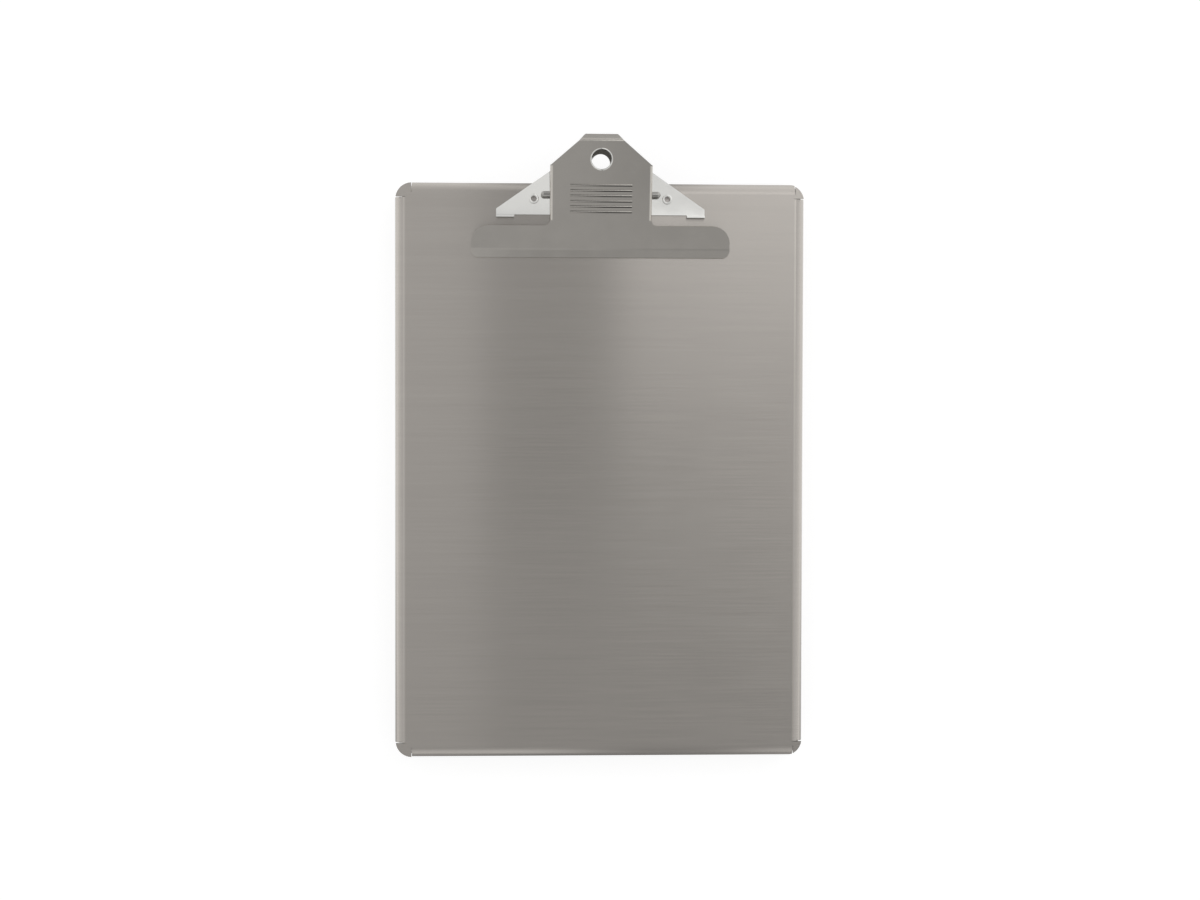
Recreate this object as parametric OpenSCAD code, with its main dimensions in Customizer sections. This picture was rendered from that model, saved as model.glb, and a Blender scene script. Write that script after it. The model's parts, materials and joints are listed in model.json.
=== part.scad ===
// Storage clipboard box for A4 paper: a shallow sheet-metal tray, a hinged lid that is the
// writing board, and a sprung butterfly clip with a hanging hole.
// It lies on its back: +X to the right, +Y toward the clip, +Z up out of the writing face.
// The origin is the middle of the board's outline, on the tray's flat back.

/* [Board lid] */
// Width of the writing board over its folded sides
board_w = 228; // [200:1:260]
// Length of the writing board over its folded ends
board_l = 320; // [300:1:360]
// Height of the writing face above the tray's back
box_h = 25; // [23:0.5:45]
// Thickness of the lid's sheet
lid_t = 1; // [0.8:0.1:1.2]
// Outer radius of the lid's folded edges
lid_bend_r = 6; // [5:0.5:7]
// Depth of the lid's flanges below the writing face
flange_h = 13; // [11:0.5:14]
// Radius of the board's four corners, seen from above
corner_r = 9; // [5:0.5:10]
// How far the flat corners stop short of the folded sides
corner_step = 0.6; // [0.2:0.1:1]
// Distance from a corner to the start of each long side's flange
side_inset = 8.5; // [7:0.5:14]
// Distance from the left corners to the start of the end flanges
end_inset_left = 9.5; // [9:0.5:14]
// Distance from the right corners to the start of the end flanges
end_inset_right = 5.5; // [3:0.5:9]
// Width of the slit that frees each flange from its corner
relief_w = 0.2; // [0.1:0.05:0.6]

/* [Tray] */
// Thickness of the tray's sheet
tray_t = 0.8; // [0.6:0.1:1]
// Outer radius of the tray's bottom edges
tray_bend_r = 3; // [2:0.5:3.5]
// Radius of the tray's upright corners
tray_corner_r = 4; // [3.5:0.5:6]
// Gap between the tray's right wall and the lid's flange
side_gap = 0.8; // [0.7:0.1:1.2]
// Gap between the tray's end walls and the lid's flanges
end_gap = 0.7; // [0.5:0.1:1.2]
// Gap between the tray's end lips and the clip's rivets under the lid
rim_clear = 0.4; // [0.3:0.1:1]
// How much tighter the end lips are bent than the inside of the lid's edge
rim_bend_step = 1; // [0.9:0.1:1.5]
// Width of the flat part of the end lips
lip_flat = 5; // [4.5:0.5:8]
// How far the long walls stop below the end lips
side_wall_drop = 2; // [1.8:0.1:4]

/* [Hinge] */
// Length of the piano hinge
hinge_l = 288; // [200:4:288]
// Number of knuckles on the two leaves together
knuckles = 24; // [8:2:32]
// Radius of the hinge knuckles
knuckle_r = 1.5; // [1.4:0.1:1.8]
// Radius of the hinge pin
pin_r = 0.75; // [0.6:0.05:0.8]
// Running clearance round the hinge pin
pin_clear = 0.05; // [0.02:0.01:0.08]
// Thickness of the hinge leaves
leaf_t = 0.7; // [0.5:0.1:0.9]
// Width of the lid's hinge leaf beyond its knuckles
lid_leaf_w = 4.5; // [3:0.5:5]
// Width of the tray's hinge leaf beyond its knuckles
tray_leaf_w = 4.5; // [3:0.5:5]
// How far the hinge pin lies below the lid's flange
hinge_drop = 2; // [2:0.1:2.6]
// End play between neighbouring knuckles
knuckle_gap = 0.3; // [0.2:0.05:0.5]
// Free space between a leaf and the other leaf's knuckles
leaf_gap = 0.4; // [0.3:0.05:0.6]

/* [Clip lever] */
// Distance from the board's top edge down to the clip's axle
axle_inset = 7.2; // [6:0.2:12]
// Slope of the lever's plate with the clip shut
lever_tilt = 16; // [14:0.5:18]
// Thickness of the lever's sheet
lever_t = 0.9; // [0.7:0.1:1.2]
// Half the width of the lever over its bent-down ears
lever_half_w = 28.1; // [24:0.5:32]
// Distance along the plate from the axle up to the lever's shoulders
shoulder_u = 16.6; // [15:0.2:18]
// Distance along the plate from the axle up to the bent tip
head_u = 29.8; // [28:0.2:33]
// Half the width of the lever where its tip bends
head_half_w = 12.9; // [11:0.1:15]
// Half the width of the bent tip at its end
tip_half_w = 8.8; // [6:0.1:10]
// Length of the flat part of the bent tip
tip_l = 3.6; // [2:0.1:5]
// Angle that the tip bends down from the plate
tip_bend = 60; // [45:1:75]
// Inner radius of the tip's bend
tip_bend_r = 1.2; // [0.8:0.1:2]
// Width of the jaw
jaw_w = 143.4; // [120:0.2:170]
// Distance along the plate from the axle down to the jaw's top edge
jaw_top_u = 16.5; // [15:0.1:18]
// Distance along the plate from the axle down to the jaw's crease
jaw_crease_u = 29.05; // [27.5:0.05:32]
// Radius of the jaw's top corners
jaw_corner_r = 10; // [6:0.5:10.5]
// Length of the jaw's flat lip below the crease
jaw_lip = 3.8; // [3:0.1:6]
// Radius of the jaw's lower corners
jaw_low_r = 4.5; // [2:0.1:5]
// Angle that the lip turns up from the plate, toward lying flat
jaw_bend = 10; // [4:1:12]
// Radius of the crease, on the side of the writer
jaw_bend_r = 8; // [4:0.5:12]
// Gap between the shut jaw and the board
jaw_gap = 0.25; // [0.15:0.05:0.5]
// Radius where the lever's sides run into the jaw
side_fillet = 2.9; // [1.5:0.1:3]
// Outer radius of the bend between plate and ears
ear_bend_r = 1.6; // [1.4:0.1:2]
// Radius of the lever's ears round the axle
ear_r = 3.3; // [2.8:0.1:3.4]
// Depth of the ears' straight run at their ends, below the plate
ear_end_depth = 2; // [1.8:0.1:2.4]

/* [Lever ribs and hanging hole] */
// Number of pressed ribs on the thumb rest
ribs = 6; // [3:1:6]
// Spacing of the ribs
rib_pitch = 2.95; // [2.4:0.05:3]
// Length of the ribs
rib_l = 34; // [20:1:40]
// Radius of the ribs' round backs
rib_r = 0.75; // [0.6:0.05:1]
// Height of the ribs above the plate
rib_h = 0.4; // [0.2:0.05:0.5]
// Distance along the plate from the axle down to the middle of the ribs
ribs_u = 1.45; // [0:0.05:3]
// Radius of the hole through the eyelet
eyelet_r = 5.5; // [4:0.1:5.6]
// Wall of the eyelet
eyelet_t = 0.45; // [0.3:0.05:0.6]
// Width of the eyelet's rolled rims beyond its barrel
eyelet_rim = 0.7; // [0.5:0.05:1]
// Clearance between the eyelet's barrel and the lever
eyelet_clear = 0.03; // [0.02:0.01:0.05]
// Distance along the plate from the axle up to the eyelet
eyelet_u = 20.2; // [20:0.1:21]

/* [Clip base plate] */
// Thickness of the base plate
base_t = 1; // [0.8:0.1:1.2]
// Half the length of the base plate's straight lower edge
base_half_w = 57.8; // [52:0.2:66]
// Distance from the axle down to the base plate's lower edge
base_low = 10.8; // [9:0.2:14]
// Height of the base plate's upright ends
base_end_h = 3.2; // [2:0.1:5]
// Distance from the axle up to the base plate's top edge
base_top = 26; // [25:0.1:28]
// Half the width of the base plate's head
base_head_half_w = 13; // [11:0.2:15]
// Size of the cut-off corners of the base plate's head
base_head_cut = 2.2; // [1:0.1:3]
// Distance from the axle up to the base plate's hanging hole
hang_hole_up = 17.6; // [17:0.1:18.5]
// Radius of the base plate's hanging hole
hang_hole_r = 5.2; // [4:0.1:5.4]
// Length of each paper stop at the ends of the lower edge
stop_l = 10; // [6:0.5:14]
// Height of the paper stops above the board
stop_h = 3.6; // [3:0.1:5]
// Outer radius of the base plate's bends
base_bend_r = 1.5; // [1.3:0.1:2]
// Gap between the base plate's ears and the lever's ears
ear_gap = 0.4; // [0.3:0.05:0.8]
// Length of the foot of the base plate's ears
base_ear_l = 12; // [10:0.5:14]
// Radius of the base plate's ears round the axle
base_ear_r = 3; // [2.6:0.1:3.2]

/* [Axle and springs] */
// Radius of the clip's axle
axle_r = 1.65; // [1.4:0.05:1.7]
// Running clearance round the axle
axle_clear = 0.05; // [0.02:0.01:0.08]
// How far the axle stands out of the lever's ears
axle_out = 5; // [2:0.1:5.5]
// Diameter of the spring wire
wire_d = 1.4; // [1.2:0.05:1.5]
// Radius of the spring's coils at the middle of the wire
coil_r = 2.9; // [2.85:0.05:3]
// Whole turns of each spring
coil_turns = 6; // [4:1:7]
// Free space between neighbouring turns
coil_gap = 0.5; // [0.45:0.05:0.7]
// Gap between the springs and the plate of the lever
coil_to_lever = 0.3; // [0.25:0.05:0.6]
// Length of the spring's legs
leg_l = 15; // [10:0.5:17]
// Gap between each spring's end and what it presses on
leg_gap = 0.1; // [0.05:0.05:0.3]

/* [Clip rivets] */
// Distance of the rivets from the clip's centre line
rivet_x = 37; // [35.5:0.1:42]
// Distance from the axle down to the rivets
rivet_down = 2.1; // [0:0.1:4]
// Outer radius of the rivets' rolled heads
rivet_head_r = 2.75; // [2.3:0.05:3]
// Height of the rivets' heads
rivet_head_h = 0.9; // [0.6:0.1:1.2]
// Height of the rivets' tails under the lid
rivet_tail_h = 0.7; // [0.5:0.1:0.9]
// Radius of the rivets' shanks
rivet_shank_r = 2; // [1.8:0.05:2.1]
// Radius of the bore in the tubular rivets
rivet_bore_r = 1.45; // [1.2:0.05:1.5]
// Clearance round the rivets' shanks
rivet_clear = 0.03; // [0.02:0.01:0.06]
// Outer radius of the washers under the lid
washer_r = 4; // [3.4:0.1:5]
// Room for the washers between the lid and the rivets' tails
washer_room = 0.5; // [0.4:0.1:0.8]
// Play of the washers in that room
washer_play = 0.02; // [0.01:0.01:0.05]

/* [Magnetic catches] */
// Distance of each catch from the middle of the right side
catch_y = 80; // [40:1:110]
// Length of the catch magnets
magnet_l = 20; // [12:1:30]
// Width of the catch magnets
magnet_w = 5; // [4:0.1:6]
// Height of the catch magnets
magnet_h = 8; // [5:0.5:9]
// Gap between a magnet and its keeper plate
magnet_gap = 0.3; // [0.2:0.05:0.5]
// Thickness of the catch brackets
bracket_t = 0.8; // [0.6:0.1:1]
// Height of the bracket's two walls beside the magnet
bracket_wall_h = 5; // [3:0.5:5.5]
// Height of the bracket's back above the tray's floor
bracket_foot_z = 4; // [4:0.5:5]
// Thickness of the keeper plates
keeper_t = 1.2; // [0.8:0.1:1.4]
// Width of the keeper plates
keeper_w = 6; // [5:0.1:8]
// Radius of the catch rivets' heads
catch_head_r = 2; // [1.6:0.1:2.2]
// Height of the catch rivets' heads
catch_head_h = 0.7; // [0.5:0.1:0.8]
// Radius of the catch rivets' shanks
catch_shank_r = 1.2; // [1:0.1:1.3]
// Height of the catch rivets above the tray's back
catch_rivet_z = 7.5; // [7:0.1:8]
// Spacing of the two rivets of each bracket
catch_rivet_pitch = 12; // [8:0.5:14]

/* [Bumpers] */
// Radius of the bumpers on the tray's end lips
bumper_r = 2.2; // [1.5:0.1:2.2]
// Gap between the bumpers and the lid
bumper_gap = 0.3; // [0.2:0.05:0.5]
// Distance of the bumpers from the ends of the lips
bumper_inset = 10; // [6:1:40]

/* [Hidden] */
$fn = 48;
// Largest angle between neighbouring facets of the lever's bends
bend_step = 3;
// How far a cutter reaches past what it cuts, and a sheet runs on into its neighbour
over = 1;
// How far the jaw's rounded corners run past its end, so that no sliver is left
corner_over = 0.1;

brushed_steel = [0.56, 0.54, 0.52];
nickel = [0.66, 0.65, 0.62];
bright_nickel = [0.82, 0.82, 0.80];
spring_steel = [0.36, 0.35, 0.34];
magnet_grey = [0.25, 0.25, 0.27];
silicone = [0.80, 0.80, 0.78];

// Lid
lid_under = box_h - lid_t;
lid_in_r = lid_bend_r - lid_t;
flange_tip_z = box_h - flange_h;
flat_x = board_w / 2 - lid_bend_r;
flat_y = board_l / 2 - lid_bend_r;
side_flange_y = board_l / 2 - side_inset;
end_flange_x0 = -board_w / 2 + end_inset_left;
end_flange_x1 = board_w / 2 - end_inset_right;

// Hinge, along the left side between the lid's flange and the tray's wall
hinge_x = -board_w / 2 + lid_t + knuckle_r;
hinge_z = flange_tip_z - hinge_drop;
knuckle_pitch = hinge_l / knuckles;

// Tray
tray_x0 = hinge_x + knuckle_r;
tray_x1 = board_w / 2 - lid_t - side_gap;
tray_y = board_l / 2 - lid_t - end_gap;
rim_gap = washer_room + rivet_tail_h + rim_clear;
tray_top = lid_under - rim_gap;
lip_bend_r = lid_in_r - rim_bend_step;
low_wall_top = tray_top - lip_bend_r;
side_wall_top = tray_top - side_wall_drop;
tray_cx = (tray_x0 + tray_x1) / 2;

// Clip: the plate's underside clears the springs by a fixed distance from the axle
axle_y = board_l / 2 - axle_inset;
plate_v = coil_r + wire_d / 2 + coil_to_lever;
crease_v = plate_v + lever_t + jaw_bend_r;
jaw_out_r = jaw_bend_r + lever_t;
jaw_end_u = -jaw_crease_u - jaw_lip * cos(jaw_bend) - jaw_out_r * sin(jaw_bend);
jaw_end_v = crease_v + jaw_lip * sin(jaw_bend) - jaw_out_r * cos(jaw_bend);
axle_h = jaw_gap - jaw_end_u * sin(lever_tilt) - jaw_end_v * cos(lever_tilt);
axle_z = box_h + axle_h;
ear_u0 = -jaw_top_u + side_fillet;
base_ear_out = lever_half_w - lever_t - ear_gap;
base_ear_in = base_ear_out - base_t;
axle_half = lever_half_w + axle_out;

// Springs
coil_pitch = wire_d + coil_gap;
coil_start_x = base_ear_in - wire_d / 2 - coil_gap;
coil_sweep = 360 * coil_turns + 180 - lever_tilt;
// Facets of the wire, along each turn and round its section
rings_per_turn = 8;
wire_sides = 6;
low_leg_rise = wire_d / 2 + leg_gap + base_t - axle_h + coil_r;
high_leg_rise = coil_to_lever - leg_gap;

// Catches
tray_in_x1 = tray_x1 - tray_t;
magnet_x1 = tray_in_x1 - bracket_t;
magnet_x0 = magnet_x1 - magnet_w;
magnet_top = lid_under - keeper_t - magnet_gap;
shelf_z = magnet_top - magnet_h;
wall_hook_top = min(shelf_z + bracket_wall_h, side_wall_top);

// L-shaped section of a folded sheet: a flat run, a bend of outer radius r, and a leg down to -leg
module fold_section(flat, r, t, leg) {
  if (flat > 0) translate([0, -t]) square([flat, t]);
  translate([flat, -r]) intersection() {
    difference() {
      circle(r);
      circle(r - t);
    }
    square(r);
  }
  if (leg > r) translate([flat + r - t, -leg]) square([t, leg - r]);
}

// Rectangle centred in X, from y0 up to y1
module band(half_w, y0, y1) {
  translate([-half_w, y0]) square([2 * half_w, y1 - y0]);
}

// Rectangle with four round corners, centred
module round_rect(w, l, r) {
  square([w - 2 * r, l], center = true);
  square([w, l - 2 * r], center = true);
  for (x = [-1, 1], y = [-1, 1])
    translate([x * (w / 2 - r), y * (l / 2 - r)]) circle(r);
}

// Lid

module lid_outline() {
  difference() {
    round_rect(board_w - 2 * corner_step, board_l - 2 * corner_step, corner_r);
    for (side = [-1, 1]) {
      translate([side * (flat_x + lid_bend_r), 0])
        square([2 * lid_bend_r, 2 * (side_flange_y + relief_w)], center = true);
      translate([end_flange_x0 - relief_w, side * (flat_y + lid_bend_r) - lid_bend_r])
        square([end_flange_x1 - end_flange_x0 + 2 * relief_w, 2 * lid_bend_r]);
    }
  }
}

// The flanges start a little inside the flat sheet, so that they are one with it
module lid_side_flange() {
  translate([flat_x - over, 0, box_h]) rotate([90, 0, 0])
    linear_extrude(2 * side_flange_y, center = true)
      fold_section(over, lid_bend_r, lid_t, flange_h);
}

// The ends of this flange are ground round with the board's corners
module lid_end_flange() {
  intersection() {
    translate([end_flange_x0, flat_y - over, box_h]) rotate([90, 0, 90])
      linear_extrude(end_flange_x1 - end_flange_x0)
        fold_section(over, lid_bend_r, lid_t, flange_h);
    linear_extrude(box_h) round_rect(board_w, board_l, corner_r);
  }
}

module lid() {
  color(brushed_steel) difference() {
    union() {
      translate([0, 0, lid_under]) linear_extrude(lid_t) lid_outline();
      for (side = [0, 1]) {
        mirror([side, 0, 0]) lid_side_flange();
        mirror([0, side, 0]) lid_end_flange();
      }
    }
    at_clip_rivets() translate([0, 0, -lid_t - over])
      cylinder(h = lid_t + 2 * over, r = rivet_shank_r + rivet_clear);
  }
}

// Tray

// Section through the tray's edge, from the corner's centre out to the wall
module pan_section(wall_top) {
  mirror([0, 1]) fold_section(tray_corner_r - tray_bend_r, tray_bend_r, tray_t, wall_top);
}

module pan_wall(length, wall_top) {
  rotate([90, 0, 0]) linear_extrude(length, center = true) pan_section(wall_top);
}

module end_lip() {
  length = tray_x1 - tray_x0 - 2 * tray_corner_r;
  translate([tray_cx, tray_y - lip_bend_r - lip_flat, tray_top])
    rotate([90, 0, 90])
      linear_extrude(length, center = true)
        fold_section(lip_flat, lip_bend_r, tray_t, lip_bend_r);
}

module tray() {
  inner_x = (tray_x1 - tray_x0) / 2 - tray_corner_r;
  inner_y = tray_y - tray_corner_r;
  color(brushed_steel) difference() {
    union() {
      translate([tray_cx, 0, 0]) {
        translate([-inner_x, -inner_y, 0]) cube([2 * inner_x, 2 * inner_y, tray_t]);
        for (turn = [0, 180]) rotate(turn) {
          translate([inner_x, 0, 0]) pan_wall(2 * inner_y, side_wall_top);
          rotate(90) translate([inner_y, 0, 0]) pan_wall(2 * inner_x, low_wall_top);
          translate([inner_x, inner_y, 0]) rotate_extrude(angle = 90) pan_section(low_wall_top);
          translate([-inner_x, inner_y, 0]) rotate(90)
            rotate_extrude(angle = 90) pan_section(low_wall_top);
        }
      }
      end_lip();
      mirror([0, 1, 0]) end_lip();
    }
    at_catch_rivets() translate([0, 0, -over])
      cylinder(h = tray_t + 2 * over, r = catch_shank_r + rivet_clear);
  }
}

// Rubber-like discs on the end lips that carry the shut lid
module tray_bumpers() {
  lip_y = tray_y - lip_bend_r - lip_flat / 2;
  half = (tray_x1 - tray_x0) / 2 - tray_corner_r - bumper_inset;
  color(silicone)
    for (x = [-1, 1], y = [-1, 1])
      translate([tray_cx + x * half, y * lip_y, tray_top])
        cylinder(h = rim_gap - bumper_gap, r = bumper_r);
}

// Hinge

// One leaf in its own frame: the pin along Y through the origin, the leaf standing up in Z,
// its outer face touching the knuckles' far side, and every second knuckle
module hinge_leaf(first, width) {
  clear_z = knuckle_r + leaf_gap;
  difference() {
    union() {
      translate([-knuckle_r, -hinge_l / 2, clear_z]) cube([leaf_t, hinge_l, width]);
      for (i = [first:2:knuckles - 1])
        translate([0, -hinge_l / 2 + i * knuckle_pitch + knuckle_gap / 2, 0]) {
          translate([-knuckle_r, 0, 0]) cube([leaf_t, knuckle_pitch - knuckle_gap, clear_z]);
          rotate([-90, 0, 0]) cylinder(h = knuckle_pitch - knuckle_gap, r = knuckle_r);
        }
    }
    rotate([90, 0, 0]) cylinder(h = hinge_l + 2 * over, r = pin_r + pin_clear, center = true);
  }
}

module lid_hinge_leaf() {
  color(brushed_steel) translate([hinge_x, 0, hinge_z]) hinge_leaf(0, lid_leaf_w);
}

module tray_hinge_leaf() {
  color(brushed_steel) translate([hinge_x, 0, hinge_z]) rotate([0, 180, 0]) hinge_leaf(1, tray_leaf_w);
}

module hinge_pin() {
  color(nickel) translate([hinge_x, 0, hinge_z])
    rotate([90, 0, 0]) cylinder(h = hinge_l, r = pin_r, center = true);
}

// Clip lever

// The lever's own frame: the axle along X through the origin, the plate in X and Y, sloping up
module at_lever() {
  translate([0, axle_y, axle_z]) rotate([lever_tilt, 0, 0]) children();
}

module jaw_outline() {
  low = -jaw_crease_u;
  band(jaw_w / 2, low, -jaw_top_u - jaw_corner_r);
  band(jaw_w / 2 - jaw_corner_r, low, -jaw_top_u);
  for (x = [-1, 1])
    translate([x * (jaw_w / 2 - jaw_corner_r), -jaw_top_u - jaw_corner_r]) intersection() {
      circle(jaw_corner_r);
      translate([-jaw_corner_r, low + jaw_top_u + jaw_corner_r]) square(2 * jaw_corner_r);
    }
}

module lever_outline() {
  flat = lever_half_w - ear_bend_r;
  jaw_outline();
  band(flat, -jaw_top_u - over, shoulder_u);
  band(lever_half_w, -jaw_top_u - over, ear_u0);
  for (side = [0, 1]) mirror([side, 0])
    translate([lever_half_w, -jaw_top_u]) difference() {
      square(side_fillet);
      translate([side_fillet, side_fillet]) circle(side_fillet);
    }
  polygon([[-lever_half_w, shoulder_u], [lever_half_w, shoulder_u], [head_half_w, head_u],
    [-head_half_w, head_u]]);
}

// Side view of an ear: shallow at both ends, round about the axle
module lever_ear_outline() {
  top = plate_v + lever_t - ear_bend_r;
  end_v = plate_v - ear_end_depth;
  reach = ear_r * cos(lever_tilt);
  drop = ear_r * sin(lever_tilt);
  polygon([[ear_u0, top], [ear_u0, end_v], [-reach, -drop], [reach, -drop],
    [shoulder_u, end_v], [shoulder_u, top]]);
  circle(ear_r);
}

module lever_ear() {
  translate([lever_half_w - lever_t, 0, 0])
    rotate([90, 0, 90]) linear_extrude(lever_t) lever_ear_outline();
  translate([lever_half_w - ear_bend_r, shoulder_u, plate_v + lever_t])
    rotate([90, 0, 0]) linear_extrude(shoulder_u - ear_u0)
      fold_section(0, ear_bend_r, lever_t, ear_bend_r);
}

// Points on an arc about the origin, from angle a0 to a1
function arc(r, a0, a1) =
  let (steps = ceil(abs(a1 - a0) / bend_step))
  [for (i = [0:steps]) let (a = a0 + (a1 - a0) * i / steps) [r * cos(a), r * sin(a)]];

// Side view of a sheet that bends clockwise from angle a0 by bend, and then runs on straight
module bent_section(inner_r, a0, bend, run) {
  a1 = a0 - bend;
  inner = arc(inner_r, a1, a0);
  outer = arc(inner_r + lever_t, a0, a1);
  ahead = run * [sin(a1), -cos(a1)];
  polygon(concat(outer, [outer[len(outer) - 1] + ahead, inner[0] + ahead], inner));
}

module across(half_w) {
  rotate([90, 0, 90]) linear_extrude(2 * half_w, center = true) children();
}

// The jaw's lip, turned up at the crease, with its two lower corners rounded
module jaw_lip() {
  corner_u = jaw_end_u + jaw_low_r - corner_over;
  intersection() {
    translate([0, -jaw_crease_u, crease_v])
      across(jaw_w / 2) bent_section(jaw_bend_r, 270, jaw_bend, jaw_lip);
    linear_extrude(crease_v) {
      band(jaw_w / 2 - jaw_low_r, jaw_end_u - jaw_low_r, 0);
      band(jaw_w / 2, corner_u, 0);
      for (x = [-1, 1]) translate([x * (jaw_w / 2 - jaw_low_r), corner_u]) circle(jaw_low_r);
    }
  }
}

// The tip bends down at the head, and narrows on to its end
module lever_tip() {
  reach = (tip_bend_r + lever_t) * sin(tip_bend) + tip_l * cos(tip_bend);
  narrowing = over * (head_half_w - tip_half_w) / reach;
  wide = head_half_w + narrowing;
  narrow = tip_half_w - narrowing;
  intersection() {
    translate([0, head_u, plate_v - tip_bend_r])
      across(wide) bent_section(tip_bend_r, 90, tip_bend, tip_l);
    translate([0, head_u, -2 * tip_l]) linear_extrude(2 * tip_l + plate_v + 2 * lever_t)
      polygon([[-wide, -over], [wide, -over], [narrow, reach + over], [-narrow, reach + over]]);
  }
}

module lever_ribs() {
  for (i = [0:ribs - 1])
    translate([0, -ribs_u + (i - (ribs - 1) / 2) * rib_pitch, plate_v + lever_t])
      rotate([90, 0, 90]) linear_extrude(rib_l, center = true) intersection() {
        translate([0, rib_h - rib_r]) circle(rib_r);
        translate([-rib_r, 0]) square([2 * rib_r, rib_h]);
      }
}

module clip_lever() {
  color(nickel) at_lever() difference() {
    union() {
      translate([0, 0, plate_v]) linear_extrude(lever_t) lever_outline();
      lever_ribs();
      lever_ear();
      mirror([1, 0, 0]) lever_ear();
      jaw_lip();
      lever_tip();
    }
    rotate([0, 90, 0])
      cylinder(h = 2 * (lever_half_w + over), r = axle_r + axle_clear, center = true);
    translate([0, eyelet_u, plate_v - over])
      cylinder(h = lever_t + 2 * over, r = eyelet_r + eyelet_t + eyelet_clear);
  }
}

// Eyelet with a rolled rim on both faces of the lever
module lever_eyelet() {
  barrel_r = eyelet_r + eyelet_t;
  color(bright_nickel) at_lever() translate([0, eyelet_u, plate_v])
    rotate_extrude() {
      translate([eyelet_r, -eyelet_t]) square([eyelet_t, lever_t + 2 * eyelet_t]);
      for (rim_v = [-eyelet_t, lever_t])
        translate([barrel_r, rim_v]) square([eyelet_rim, eyelet_t]);
    }
}

module clip_axle() {
  color(bright_nickel) translate([-axle_half, axle_y, axle_z]) rotate([0, 90, 0])
    rotate_extrude() {
      translate([0, axle_r]) square([axle_r, 2 * axle_half - 2 * axle_r]);
      for (end = [axle_r, 2 * axle_half - axle_r])
        translate([0, end]) intersection() {
          circle(axle_r);
          translate([0, -axle_r]) square([axle_r, 2 * axle_r]);
        }
    }
}

// Clip base plate, in the lid's frame with the axle's line as Y = 0 and the board's face as Z = 0

module at_base() {
  translate([0, axle_y, box_h]) children();
}

module base_outline() {
  cut_top = base_top - base_head_cut;
  polygon([
    [-base_half_w, -base_low], [base_half_w, -base_low],
    [base_half_w, -base_low + base_end_h], [base_head_half_w, cut_top],
    [base_head_half_w - base_head_cut, base_top], [base_head_cut - base_head_half_w, base_top],
    [-base_head_half_w, cut_top], [-base_half_w, -base_low + base_end_h]
  ]);
}

// The window that each ear leaves in the plate when it is folded up
module ear_window() {
  depth = axle_h + base_ear_r;
  translate([base_ear_in + base_bend_r - depth, -base_ear_l / 2 - relief_w, -over])
    cube([depth, base_ear_l + 2 * relief_w, base_t + 2 * over]);
}

module base_ear() {
  foot = base_ear_l / 2;
  translate([base_ear_in + base_bend_r, 0, 0]) rotate([90, 0, 0])
    linear_extrude(base_ear_l, center = true)
      rotate(180) fold_section(0, base_bend_r, base_t, base_bend_r);
  translate([base_ear_in, 0, 0]) rotate([90, 0, 90]) linear_extrude(base_t) {
    polygon([[-foot, base_bend_r], [foot, base_bend_r], [base_ear_r, axle_h], [-base_ear_r, axle_h]]);
    translate([0, axle_h]) circle(base_ear_r);
  }
}

// A tab folded up past the lower edge, which squares the paper
module paper_stop() {
  translate([base_half_w - stop_l, -base_low, 0]) rotate([90, 0, 90]) linear_extrude(stop_l)
    rotate(180) fold_section(0, base_bend_r, base_t, stop_h);
}

module clip_base_plate() {
  color(bright_nickel) at_base() difference() {
    union() {
      difference() {
        linear_extrude(base_t) base_outline();
        ear_window();
        mirror([1, 0, 0]) ear_window();
      }
      for (side = [0, 1]) mirror([side, 0, 0]) {
        base_ear();
        paper_stop();
      }
    }
    translate([0, 0, axle_h]) rotate([0, 90, 0])
      cylinder(h = 2 * lever_half_w, r = axle_r + axle_clear, center = true);
    translate([0, hang_hole_up, -over]) cylinder(h = base_t + 2 * over, r = hang_hole_r);
    for (x = [-rivet_x, rivet_x]) translate([x, -rivet_down, -over])
      cylinder(h = base_t + 2 * over, r = rivet_shank_r + rivet_clear);
  }
}

// Clip rivets: tubular, rolled over the base plate and over a washer under the lid

module at_clip_rivets() {
  for (x = [-rivet_x, rivet_x]) translate([x, axle_y - rivet_down, box_h]) children();
}

// Half section of a rolled head on the shank's wall, its seat at Y = 0
module rolled_head(height) {
  roll_w = rivet_head_r - rivet_bore_r;
  edge = height / 2;
  translate([rivet_bore_r + edge, 0]) square([roll_w - 2 * edge, height]);
  translate([rivet_bore_r, 0]) square([roll_w, edge]);
  for (x = [rivet_bore_r + edge, rivet_head_r - edge]) translate([x, edge]) circle(edge);
}

module clip_rivets() {
  tail_seat = lid_t + washer_room;
  color(bright_nickel) at_clip_rivets() rotate_extrude() {
    translate([rivet_bore_r, -tail_seat])
      square([rivet_shank_r - rivet_bore_r, base_t + tail_seat]);
    translate([0, base_t]) rolled_head(rivet_head_h);
    translate([0, -tail_seat]) mirror([0, 1]) rolled_head(rivet_tail_h);
  }
}

module rivet_washers() {
  washer_t = washer_room - washer_play;
  color(nickel) at_clip_rivets() translate([0, 0, -lid_t - washer_room]) difference() {
    cylinder(h = washer_t, r = washer_r);
    translate([0, 0, -over])
      cylinder(h = washer_t + 2 * over, r = rivet_shank_r + rivet_clear);
  }
}

// Springs: each is one wire, from a leg on the base plate through its coils to a leg on the lever

function coil_point(a) =
  [coil_start_x - coil_pitch * a / 360, coil_r * cos(-90 - a), coil_r * sin(-90 - a)];

spring_steps = ceil(coil_sweep / 360 * rings_per_turn);
coil_end = coil_point(coil_sweep);
low_leg = [coil_start_x, leg_l, -coil_r + low_leg_rise];
high_leg = [coil_end[0], coil_end[1] + leg_l * cos(lever_tilt) - high_leg_rise * sin(lever_tilt),
  coil_end[2] + leg_l * sin(lever_tilt) + high_leg_rise * cos(lever_tilt)];
coil_path = [for (i = [0:spring_steps]) coil_point(i * coil_sweep / spring_steps)];
spring_path = concat([low_leg], coil_path, [high_leg]);

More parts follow.
